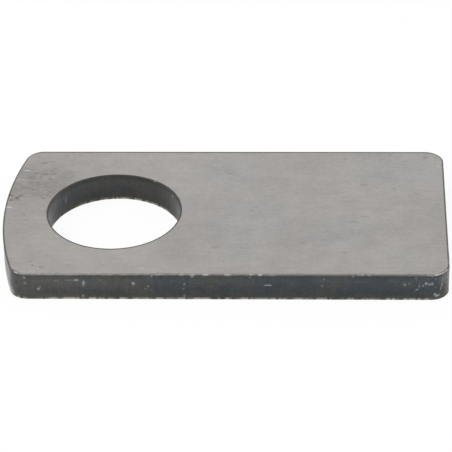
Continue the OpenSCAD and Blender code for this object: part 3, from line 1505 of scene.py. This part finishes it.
    def marks(self) -> tuple[Mark, ...]:
        """Collect every single mark.

        Returns:
            The marks.
        """
        top, hole = self.sizes.thickness, self.sizes.hole_radius
        found = [
            Mark(MarkKind.NICK, (x, self.sizes.near_side(x), z), (half_x, self.wall_reach, half_z), strength)
            for x, z, half_x, half_z, strength in self.NEAR_NICKS
        ]
        for angle, z, half_width, half_z, strength in self.HOLE_NICKS:
            turn = math.radians(angle)
            centre = (hole * math.cos(turn), hole * math.sin(turn), z)
            found.append(Mark(MarkKind.NICK, centre, (half_width, half_width, half_z), strength))
        for kind, table in (
            (MarkKind.RUB, self.FACE_RUBS),
            (MarkKind.SOIL, self.FACE_SMUDGES),
            (MarkKind.PIT, self.FACE_PITS),
            (MarkKind.COOL, self.FACE_COOL),
        ):
            found += [
                Mark(kind, (x, y, top), (half_x, half_y, self.face_reach), strength)
                for x, y, half_x, half_y, strength in table
            ]
        return (*found, *self._unseen_marks())

    def rims(self) -> tuple[RimWear, ...]:
        """Collect every worn stretch of rim.

        Returns:
            The stretches.
        """
        sizes = self.sizes
        near = -sizes.arc_corner_x
        square_corner = near + sizes.square_corner_x
        worn = [
            RimWear(Cut.OUTLINE, rim, origin + start, end - start, strength)
            for rim, origin, table in (
                (Rim.UPPER, near, self.NEAR_RIM),
                (Rim.LOWER, near, self.NEAR_CHIPS),
                (Rim.UPPER, square_corner, self.SQUARE_CORNER_RIM),
                (Rim.UPPER, 0.0, self.ARC_CORNER_RIM),
            )
            for start, end, strength in table
        ]
        for first, last, strength in self.HOLE_CHIPS:
            start = sizes.hole_run(first)
            worn.append(RimWear(Cut.HOLE, Rim.LOWER, start, sizes.hole_run(last) - start, strength))
        for angle, length, strength in self.HOLE_RUBS:
            worn.append(RimWear(Cut.HOLE, Rim.UPPER, sizes.hole_run(angle), length, strength))
        return (*worn, *self._unseen_rims(square_corner + self.HIDDEN_START))

    def _unseen_marks(self) -> Iterator[Mark]:
        """Draw knocks for the walls and the underside, which the photograph doesn't show.

        Yields:
            The marks.
        """
        sizes, rng = self.sizes, np.random.default_rng(self.seed)
        line = sizes.outline(self.DRAW_STEP)
        hidden = np.flatnonzero(line.points[:, 1] > self.HIDDEN_FROM * sizes.half_width)
        for index in rng.choice(hidden, self.KNOCKS, replace=False):
            x, y = line.points[index]
            half = rng.uniform(*self.KNOCK_LENGTH)
            height = rng.uniform(self.KNOCK_GAP, sizes.thickness - self.KNOCK_GAP)
            half_size = (half, half, rng.uniform(*self.KNOCK_HEIGHT))
            yield Mark(MarkKind.NICK, (x, y, height), half_size, rng.uniform(*self.KNOCK_STRENGTH))
        for _ in range(self.UNDER_MARKS):
            x, y = rng.uniform(*self.UNDER_X), rng.uniform(*self.UNDER_Y)
            kind = rng.choice([MarkKind.RUB, MarkKind.SOIL, MarkKind.PIT])
            half_size = (rng.uniform(*self.UNDER_LENGTH), rng.uniform(*self.UNDER_WIDTH), self.face_reach)
            yield Mark(kind, (x, y, 0.0), half_size, rng.uniform(*self.UNDER_STRENGTH))

    def _unseen_rims(self, start: float) -> Iterator[RimWear]:
        """Draw chips for the lower rims, and worn stretches that also paint a highlight for the upper rims,
        from the square end round to the rounded end.

        Args:
            start: Where the first one starts along the outer cut.

        Yields:
            The stretches.
        """
        rng = np.random.default_rng(self.seed + 1)
        stop = self.sizes.outline(self.DRAW_STEP).length - self.HIDDEN_STOP
        for rim, lengths, gap, strengths in self.HIDDEN_RIMS:
            place = start
            while place < stop:
                length = rng.uniform(*lengths)
                yield RimWear(Cut.OUTLINE, rim, place, length, rng.uniform(*strengths))
                place += length + rng.exponential(gap) + self.LEAST_GAP


@dataclass
class Studio:
    """A plain white floor and soft light, with the camera where the photograph was taken from.

    Args:
        azimuth: Camera's direction round the plate, in degrees from the near side.
        elevation: Camera's height above the plate, in degrees.
        roll: Camera's turn about its own line of sight, in degrees.
        distance: From the camera to its target, in metres.
        target: Point on the top face that the camera looks at, in metres.
        lens: Focal length, in millimetres.
        sensor: Width of the camera's sensor, in millimetres.
        view_depth: How far the camera sees, in metres.
        floor_half: Half the side of the floor, in metres.
        floor_colour: Colour of the matt floor, which catches the plate's shadow.
        floor_lift: How far the floor turns to plain white where it is seen, from 0 to 1.
        sky: Strength of the even light.
        key_watts: Power of the lamp.
        key_size: Side of the lamp, in metres.
        key_place: Where the lamp hangs, in metres.
    """

    azimuth: float = 2.54
    elevation: float = 34.01
    roll: float = -1.306
    distance: float = 0.7401
    target: Triple = (0.03059, -0.00722, 0.008)
    lens: float = 219.19
    sensor: float = 36.0
    view_depth: float = 50.0
    floor_half: float = 3.0
    floor_colour: str = "#F7F7F7"
    floor_lift: float = 0.93
    sky: float = 0.78
    key_watts: float = 4.2
    key_size: float = 0.8
    key_place: Triple = (-0.45, -0.25, 0.85)

    def build(self) -> None:
        """Make the floor, the sky, the lamp and the camera."""
        self._floor()
        self._sky()
        self._key()
        self._camera()
        bpy.context.scene.view_settings.view_transform = "Standard"

    @staticmethod
    def _seen(tree: bpy.types.NodeTree) -> Socket:
        """Tell what the camera sees directly, in a reflection or through glass.

        Args:
            tree: Node tree that takes the nodes.

        Returns:
            1 for such a ray, and 0 for one that only lights the scene.
        """
        path = add_node(tree, "LightPath")
        seen = path.outputs["Is Camera Ray"]
        for name in ("Is Glossy Ray", "Is Transmission Ray"):
            seen = add_node(tree, "Math", {0: seen, 1: path.outputs[name]}, operation="MAXIMUM").outputs[0]
        return seen

    def _floor(self) -> None:
        """Make a matt white table that keeps the plate's shadow."""
        half = self.floor_half
        mesh = bpy.data.meshes.new("table")
        corners = [(-half, -half, 0), (half, -half, 0), (half, half, 0), (-half, half, 0)]
        mesh.from_pydata(corners, [], [(0, 1, 2, 3)])
        table = bpy.data.objects.new("table", mesh)
        bpy.context.scene.collection.objects.link(table)
        material = bpy.data.materials.new("matt_white_table")
        material.use_nodes = True
        tree = material.node_tree
        tree.nodes.clear()
        matt = add_node(tree, "BsdfDiffuse", {"Color": linear(self.floor_colour)})
        glow = add_node(tree, "Emission", {"Color": WHITE, "Strength": 1.0})
        lift = add_node(tree, "Math", {0: self._seen(tree), 1: self.floor_lift}, operation="MULTIPLY")
        both = add_node(tree, "MixShader", {0: lift.outputs[0], 1: matt.outputs[0], 2: glow.outputs[0]})
        add_node(tree, "OutputMaterial", {"Surface": both.outputs[0]})
        mesh.materials.append(material)

    def _sky(self) -> None:
        """Light the plate evenly from all round, and show plain white where the sky is seen."""
        world = bpy.data.worlds.new("studio")
        bpy.context.scene.world = world
        world.use_nodes = True
        tree = world.node_tree
        tree.nodes.clear()
        light = add_node(tree, "Background", {"Color": WHITE, "Strength": self.sky})
        white = add_node(tree, "Background", {"Color": WHITE, "Strength": 1.0})
        both = add_node(tree, "MixShader", {0: self._seen(tree), 1: light.outputs[0], 2: white.outputs[0]})
        add_node(tree, "OutputWorld", {"Surface": both.outputs[0]})

    def _key(self) -> None:
        """Hang one large soft lamp above the near left."""
        lamp = bpy.data.lights.new("key", "AREA")
        lamp.energy, lamp.size = self.key_watts, self.key_size
        holder = bpy.data.objects.new("key", lamp)
        place = Vector(self.key_place)
        aim = Vector(self.target) - place
        holder.matrix_world = Matrix.Translation(place) @ aim.to_track_quat("-Z", "Y").to_matrix().to_4x4()
        bpy.context.scene.collection.objects.link(holder)

    def _camera(self) -> None:
        """Set up the camera at the photograph's viewing angle."""
        data = bpy.data.cameras.new("camera")
        data.lens, data.sensor_width, data.clip_end = self.lens, self.sensor, self.view_depth
        camera = bpy.data.objects.new("camera", data)
        azimuth, elevation = math.radians(self.azimuth), math.radians(self.elevation)
        level = math.cos(elevation)
        back = Vector((math.sin(azimuth) * level, -math.cos(azimuth) * level, math.sin(elevation)))
        right = (-back).cross(Vector((0, 0, 1))).normalized()
        up = right.cross(-back)
        turn = Matrix((right, up, back)).transposed().to_4x4()
        place = Matrix.Translation(Vector(self.target) + back * self.distance)
        camera.matrix_world = place @ turn @ Matrix.Rotation(math.radians(self.roll), 4, "Z")
        bpy.context.scene.collection.objects.link(camera)
        bpy.context.scene.camera = camera


def read_sizes(frame: dict[str, Any]) -> PlateSizes:
    """Read the plate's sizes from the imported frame.


    Returns:
        Sizes in millimetres.
    """
    low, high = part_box(NODE)
    bore = next(m for m in frame["record"]["mounts"] if m["kind"] == "bore")
    return PlateSizes(
        tip_x=low[0] / MM,
        end_x=high[0] / MM,
        half_width=high[1] / MM,
        thickness=high[2] / MM,
        hole_radius=bore["dims"]["r_mm"],
    )


def main() -> None:
    """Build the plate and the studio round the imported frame."""
    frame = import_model()
    sizes = read_sizes(frame)
    LOG.info("plate %.1f x %.1f x %.1f mm", sizes.end_x - sizes.tip_x, 2 * sizes.half_width, sizes.thickness)
    wear = Wear(sizes)
    plate = LockPlate(sizes, wear.marks(), wear.rims()).build()
    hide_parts(NODE)
    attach(plate, "root")
    LOG.info("%s: %d faces", plate.name, len(plate.data.polygons))
    Studio().build()
    LOG.info("studio: table, sky, lamp and camera")


if __name__ == "__main__":
    logging.basicConfig(level=logging.INFO, format="%(name)s: %(message)s")
    main()
